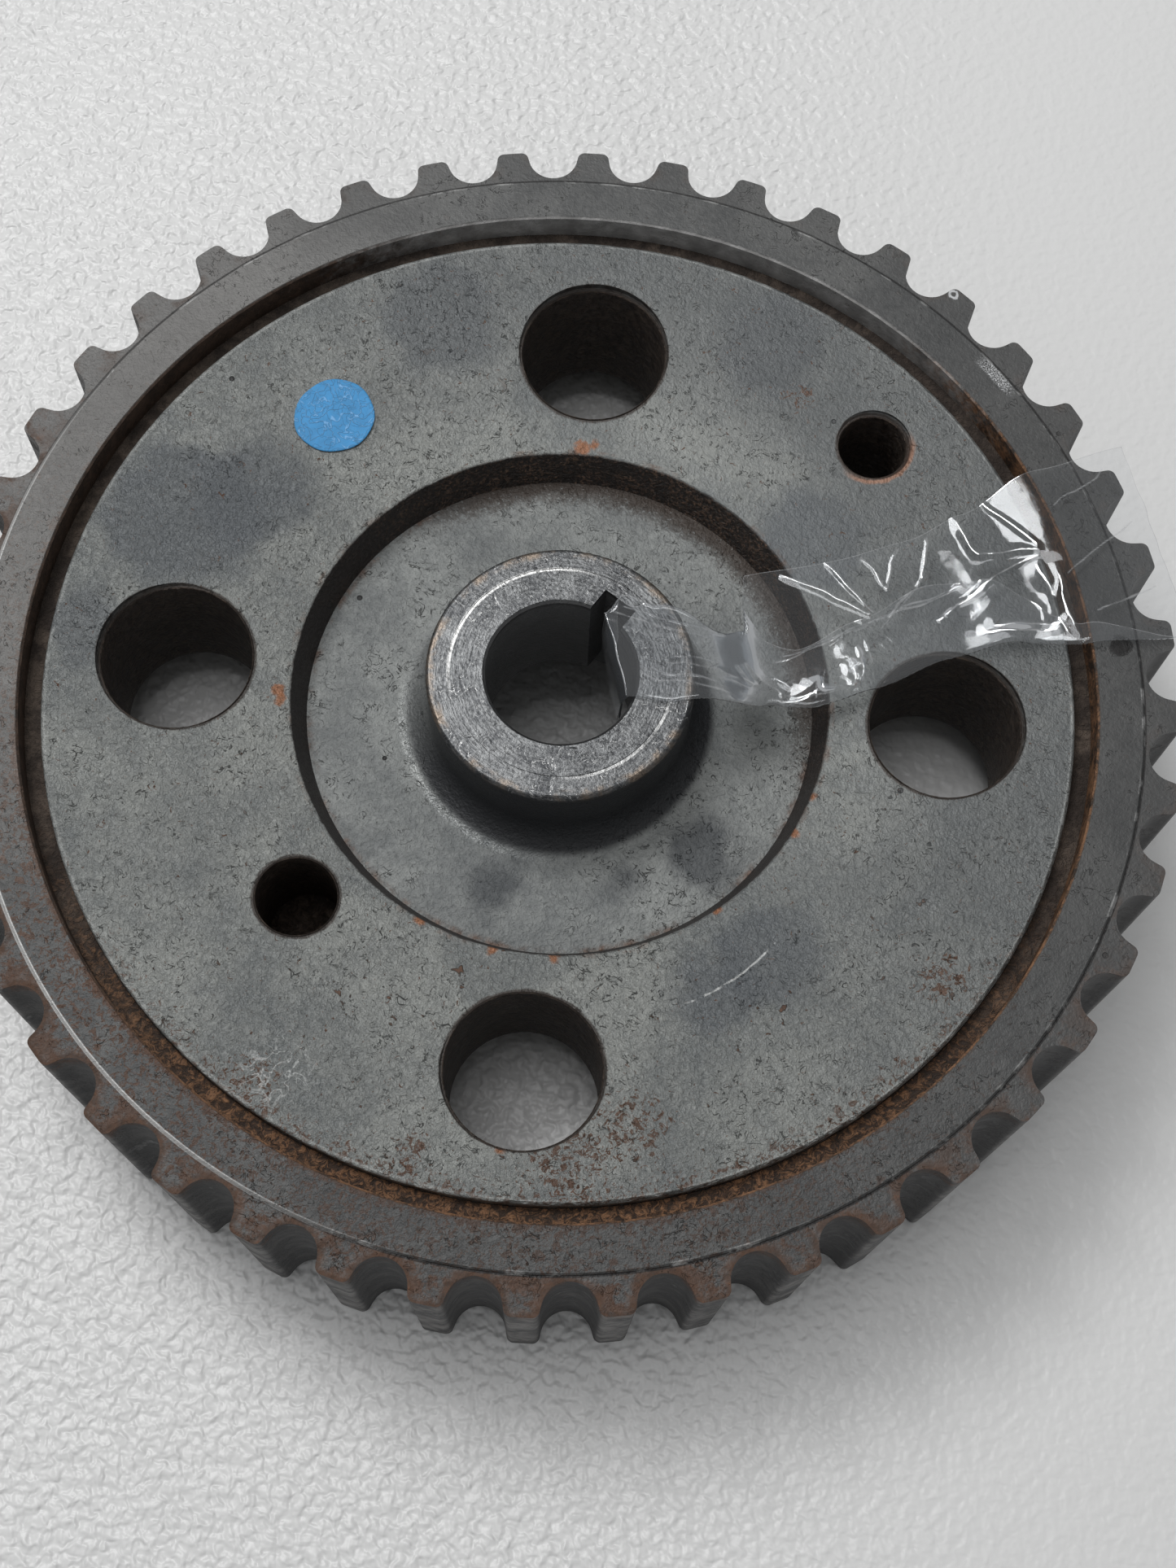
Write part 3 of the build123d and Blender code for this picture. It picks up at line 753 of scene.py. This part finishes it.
# Creases pressed into the film: where each starts and ends, its width and its height
CREASES = (
    ((27.0, 6.9), (34.5, 0.3), 0.36, 0.28),
    ((31.5, 7.0), (34.9, 0.4), 0.24, 0.20),
    ((35.4, 6.9), (37.0, 2.6), 0.16, 0.13),
    ((39.4, 6.9), (37.0, 2.6), 0.18, 0.15),
    ((42.9, 7.4), (41.6, 3.0), 0.20, 0.18),
    ((41.6, 3.0), (36.4, -1.4), 0.18, 0.16),
    ((46.6, 8.2), (47.6, 4.0), 0.55, 0.42),
    ((47.6, 4.0), (53.6, 3.0), 0.45, 0.34),
    ((50.2, 9.6), (53.8, 3.6), 0.26, 0.24),
    ((53.4, 2.2), (45.0, -0.6), 0.24, 0.20),
    ((53.0, 1.0), (53.6, -3.0), 0.50, 0.34),
    ((54.9, -1.0), (54.8, -7.0), 0.85, 0.60),
    ((47.0, -4.6), (53.6, -6.2), 0.70, 0.42),
    ((28.0, -5.0), (27.2, -7.5), 1.40, 0.85),
    ((32.4, -3.8), (31.5, -6.9), 1.40, 0.90),
    ((24.0, -7.4), (31.0, -7.0), 0.50, 0.36),
    ((33.2, -2.6), (33.0, -5.4), 0.22, 0.22),
    ((20.8, -2.2), (23.6, -6.0), 0.24, 0.22),
    ((24.0, -2.5), (45.0, 1.2), 0.16, 0.14),
    ((12.0, -1.0), (21.5, -4.4), 0.18, 0.12),
    ((9.0, -2.0), (18.0, -5.6), 0.16, 0.11),
    ((8.0, 5.6), (17.0, 0.6), 0.16, 0.12),
    ((57.0, 7.0), (64.0, 10.0), 0.26, 0.16),
    ((56.0, -1.0), (65.0, 3.5), 0.26, 0.16),
    ((58.0, -6.0), (65.0, -4.5), 0.30, 0.18),
    ((42.5, -1.8), (44.8, -0.8), 0.20, 0.24),
)
# Broad shallow folds: the direction of each in radians, the distance between folds and where they start
FOLDS = ((0.35, 11.3, 0.1), (1.25, 9.1, 0.9), (2.25, 13.2, 0.35))


def beside(u, v, start, end):
    """Distance from a crease, and how far along it the nearest point lies, from 0 to 1."""
    du = end[0] - start[0]
    dv = end[1] - start[1]
    share = ((u - start[0]) * du + (v - start[1]) * dv) / (du * du + dv * dv)
    share = min(1.0, max(0.0, share))
    return math.hypot(u - start[0] - du * share, v - start[1] - dv * share), share


def crumple(u, v):
    """The film's creases at a place: their height in millimetres, and their whiteness from 0 to 1, which is
    partly a painted highlight.
    """
    bent_u = u + 0.4 * noise.noise(Vector((u * 0.4, v * 0.4, 1.0)))
    bent_v = v + 0.4 * noise.noise(Vector((u * 0.4, v * 0.4, 7.0)))
    height = 0.0
    whiteness_and_glint = 0.0
    for start, end, width, rise in CREASES:
        away, share = beside(bent_u, bent_v, start, end)
        body = math.sin(math.pi * (0.15 + 0.7 * share))
        height += rise * body * max(0.0, 1 - away / (2.2 * width)) ** 1.4
        whiteness_and_glint = max(whiteness_and_glint, 1 - away / CREASE_WHITE)
    for turn, wave, start in FOLDS:
        across = (bent_u * math.cos(turn) + bent_v * math.sin(turn)) / wave + start
        share = across - math.floor(across)
        height += abs(share - 0.5) * 2 * wave * 0.016
    height += 0.02 * noise.noise(Vector((u * 0.7, v * 0.7, 5.0)))
    return height, whiteness_and_glint


def film_mesh(settings):
    """The strip of film hangs into the bore and crosses the nose, the web and the teeth.

    Where it is narrower than it was cut, it is folded to and fro, one layer on the other.
    """
    reach = TIP_RADIUS + FILM_PAST_TEETH - FILM_BEND
    builder = bmesh.new()
    crease = builder.verts.layers.float.new("crease")
    turn = Matrix.Rotation(FILM_ANGLE, 4, "Z")
    rows = []
    for i in range(FILM_STEPS_LONG + 1):
        s = -FILM_HANG + (reach + FILM_HANG) * i / FILM_STEPS_LONG
        u0 = FILM_BEND + max(s, 0.0)
        upper = between(u0, FILM_UPPER) - max(0.0, -s) * 0.62
        lower = between(u0, FILM_LOWER) + max(0.0, -s) * 0.12
        wide = upper - lower
        loose = between(s, FILM_LOOSE)
        row = []
        for j in range(FILM_STEPS_WIDE + 1):
            gone = max(settings.width, wide) * j / FILM_STEPS_WIDE
            turns = gone / wide
            layers = sum(between(turns, ((k - 0.04, 0.0), (k + 0.04, 1.0))) for k in range(1, 5))
            layer = FILM_LAYER * layers
            back = turns % 2.0
            v = upper - wide * (back if back <= 1.0 else 2.0 - back)
            height, whiteness_and_glint = crumple(u0 + layer * 4, v + layer * 2)
            edge = min(abs(v - upper), abs(v - lower), abs(reach - s), abs(settings.width - gone))
            # Whiteness along the cut and folded edges, partly a painted highlight
            whiteness_and_glint = max(whiteness_and_glint, 1 - edge / EDGE_WHITE)
            if s < 0:
                droop = -s
                u = FILM_BEND - 0.7 * math.sin(min(droop, 3.0) / 3.0 * math.pi / 2)
                u += height * 0.6 + layer * 0.3
                height = FILM_ON_NOSE - droop + FILM_SPRING * math.exp(-droop)
            else:
                u = u0 + 0.35 * noise.noise(Vector((u0 * 0.3, v * 0.3, 3.0)))
                lying = between(math.hypot(u, v), FILM_HEIGHT)
                height = lying + layer + height * loose * settings.crumple
                height = min(height + FILM_SPRING * math.exp(-s), FILM_HIGHEST)
            vert = builder.verts.new(turn @ Vector((u * MM, v * MM, height * MM)))
            vert[crease] = whiteness_and_glint
            row.append(vert)
        rows.append(row)
    for low, high in zip(rows, rows[1:]):
        for j in range(FILM_STEPS_WIDE):
            builder.faces.new((low[j], high[j], high[j + 1], low[j + 1]))
    bmesh.ops.recalc_face_normals(builder, faces=builder.faces)
    return stored_mesh("clear_film", builder)


# ---------------------------------------------------------------------------------------------
# Settings
# ---------------------------------------------------------------------------------------------


def colour_property(name, description, default):
    return bpy.props.FloatVectorProperty(
        name=name, description=description, default=default, subtype="COLOR", min=0.0, max=1.0
    )


def number_property(name, description, default, **limits):
    return bpy.props.FloatProperty(name=name, description=description, default=default, **limits)


class RimSettings(bpy.types.PropertyGroup):
    """Tones of the rim's phosphate."""

    dark: colour_property("Dark", "Darker tone of the phosphate", (0.052, 0.054, 0.055))
    light: colour_property("Light", "Lighter tone of the phosphate", (0.135, 0.136, 0.133))


class WebSettings(bpy.types.PropertyGroup):
    """Tones of the web's phosphate."""

    dark: colour_property("Dark", "Darker tone of the phosphate", (0.098, 0.106, 0.108))
    light: colour_property("Light", "Lighter tone of the phosphate", (0.250, 0.257, 0.242))


class HubSettings(bpy.types.PropertyGroup):
    """Tones of the hub's phosphate."""

    dark: colour_property("Dark", "Darker tone of the phosphate", (0.112, 0.120, 0.122))
    light: colour_property("Light", "Lighter tone of the phosphate", (0.290, 0.300, 0.290))


class DotSettings(bpy.types.PropertyGroup):
    """The paper dot."""

    colour: colour_property("Colour", "Colour of the paper", (0.055, 0.305, 0.635))
    thickness: number_property(
        "Thickness", "Thickness of the paper", 0.00012, min=0.00005, max=0.0003, unit="LENGTH"
    )


class FilmSettings(bpy.types.PropertyGroup):
    """The strip of clear film."""

    tint: colour_property("Tint", "Colour of the film between its creases", (0.86, 0.88, 0.90))
    width: number_property(
        "Width", "Width that the film was cut to, in millimetres", 23.5, min=15.0, max=30.0
    )
    crumple: number_property(
        "Crumple", "How deep the creases are", 1.0, min=0.0, max=2.0, subtype="FACTOR"
    )
    haze: number_property(
        "Haze", "How much of the light the clear film stops", 0.03, min=0.0, max=1.0, subtype="FACTOR"
    )


class StageSettings(bpy.types.PropertyGroup):
    """Floor, lights and camera."""

    colour: colour_property("Floor", "Colour of the floor", (0.76, 0.76, 0.755))
    key: number_property("Key", "Strength of the main light", 2.9, min=0.0, unit="POWER")
    top: number_property("Top", "Strength of the light overhead", 1.7, min=0.0, unit="POWER")
    sky: number_property("Sky", "Strength of the light from all round", 0.34, min=0.0)
    lens: number_property("Lens", "Focal length", 50.375, min=1.0, unit="CAMERA")


# ---------------------------------------------------------------------------------------------
# Operators
# ---------------------------------------------------------------------------------------------

# In metres: the worn width of the rim's sharp edges, the reach of the floor from its middle,
# and the gap that keeps the floor off the steel
EDGE_BEVEL = 0.00025
FLOOR_REACH = 1.5
FLOOR_GAP = 0.00005

# Above the wheel and a little below its middle, looking down at it; the angles are in degrees
CAMERA_PLACE = (0.00570, -0.08746, 0.24293)
CAMERA_ANGLES = (19.417, -1.284, 5.0)


class PULLEY_OT_rim(bpy.types.Operator):
    """Finish the toothed rim"""

    bl_idname = "pulley.rim"
    bl_label = "Toothed Rim"

    def execute(self, context):
        rim = dress("toothed_rim", rim_finish(context.scene.pulley_rim))
        rounding = rim.modifiers.new("worn_edges", "BEVEL")
        rounding.width = EDGE_BEVEL
        rounding.segments = 2
        rounding.limit_method = "ANGLE"
        rounding.angle_limit = math.radians(40)
        rounding.use_clamp_overlap = True
        return {"FINISHED"}


class PULLEY_OT_web(bpy.types.Operator):
    """Finish the web disc"""

    bl_idname = "pulley.web"
    bl_label = "Web Disc"

    def execute(self, context):
        dress("web_disc", web_finish(context.scene.pulley_web))
        return {"FINISHED"}


class PULLEY_OT_hub(bpy.types.Operator):
    """Finish the keyed hub"""

    bl_idname = "pulley.hub"
    bl_label = "Keyed Hub"

    def execute(self, context):
        dress("keyed_hub", hub_finish(context.scene.pulley_hub))
        return {"FINISHED"}


class PULLEY_OT_dot(bpy.types.Operator):
    """Lay the blue paper dot on the web"""

    bl_idname = "pulley.dot"
    bl_label = "Paper Dot"

    def execute(self, context):
        settings = context.scene.pulley_dot
        dot = add_piece("blue_dot", dot_mesh(settings), paper_finish(settings))
        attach(dot, "root")
        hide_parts("paper_dot")
        return {"FINISHED"}


class PULLEY_OT_film(bpy.types.Operator):
    """Lay the strip of clear film from the bore to the teeth"""

    bl_idname = "pulley.film"
    bl_label = "Clear Film"

    def execute(self, context):
        settings = context.scene.pulley_film
        film = add_piece("clear_film", film_mesh(settings), film_finish(settings))
        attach(film, "root")
        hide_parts("film_tape")
        return {"FINISHED"}


class PULLEY_OT_stage(bpy.types.Operator):
    """Set the floor, the lights and the camera"""

    bl_idname = "pulley.stage"
    bl_label = "Stage"

    def execute(self, context):
        settings = context.scene.pulley_stage
        builder = bmesh.new()
        bmesh.ops.create_grid(builder, x_segments=8, y_segments=8, size=FLOOR_REACH)
        floor = add_piece("floor", stored_mesh("floor", builder), floor_finish(settings))
        floor.location.z = -FLOOR_GAP

        world = bpy.data.worlds.new("studio")
        world.use_nodes = True
        sky = world.node_tree.nodes["Background"]
        sky.inputs["Color"].default_value = (0.98, 0.99, 1.0, 1.0)
        sky.inputs["Strength"].default_value = settings.sky
        context.scene.world = world

        lamps = (
            ("key_light", (-0.27, 0.27, 0.70), 0.33, settings.key),
            ("top_light", (-0.09, 0.08, 1.0), 0.40, settings.top),
        )
        for name, place, size, power in lamps:
            lamp = bpy.data.lights.new(name, "AREA")
            lamp.shape = "DISK"
            lamp.size = size
            lamp.energy = power
            light = bpy.data.objects.new(name, lamp)
            light.location = place
            light.rotation_euler = (-Vector(place)).to_track_quat("-Z", "Y").to_euler()
            context.scene.collection.objects.link(light)

        view = bpy.data.cameras.new("camera")
        view.lens = settings.lens
        view.sensor_width = 36.0
        view.clip_start = 0.01
        camera = bpy.data.objects.new("camera", view)
        camera.location = CAMERA_PLACE
        camera.rotation_euler = [math.radians(angle) for angle in CAMERA_ANGLES]
        context.scene.collection.objects.link(camera)
        context.scene.camera = camera
        context.scene.view_settings.view_transform = "Standard"
        return {"FINISHED"}


OPERATORS = (PULLEY_OT_rim, PULLEY_OT_web, PULLEY_OT_hub, PULLEY_OT_dot, PULLEY_OT_film, PULLEY_OT_stage)
SETTINGS = {
    "pulley_rim": RimSettings,
    "pulley_web": WebSettings,
    "pulley_hub": HubSettings,
    "pulley_dot": DotSettings,
    "pulley_film": FilmSettings,
    "pulley_stage": StageSettings,
}


class PULLEY_PT_panel(bpy.types.Panel):
    """Lists the steps that make the pulley"""

    bl_idname = "PULLEY_PT_panel"
    bl_label = "Timing Belt Pulley"
    bl_space_type = "VIEW_3D"
    bl_region_type = "UI"
    bl_category = "Pulley"

    def draw(self, context):
        for step in OPERATORS:
            self.layout.operator(step.bl_idname)


CLASSES = (*SETTINGS.values(), *OPERATORS, PULLEY_PT_panel)


def register():
    for cls in CLASSES:
        bpy.utils.register_class(cls)
    for name, group in SETTINGS.items():
        setattr(bpy.types.Scene, name, bpy.props.PointerProperty(type=group))


def unregister():
    for name in SETTINGS:
        delattr(bpy.types.Scene, name)
    for cls in reversed(CLASSES):
        bpy.utils.unregister_class(cls)


def main():
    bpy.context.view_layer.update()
    register()
    bpy.ops.pulley.rim()
    bpy.ops.pulley.web()
    bpy.ops.pulley.hub()
    bpy.ops.pulley.dot()
    bpy.ops.pulley.film()
    bpy.ops.pulley.stage()


if __name__ == "__main__":
    main()
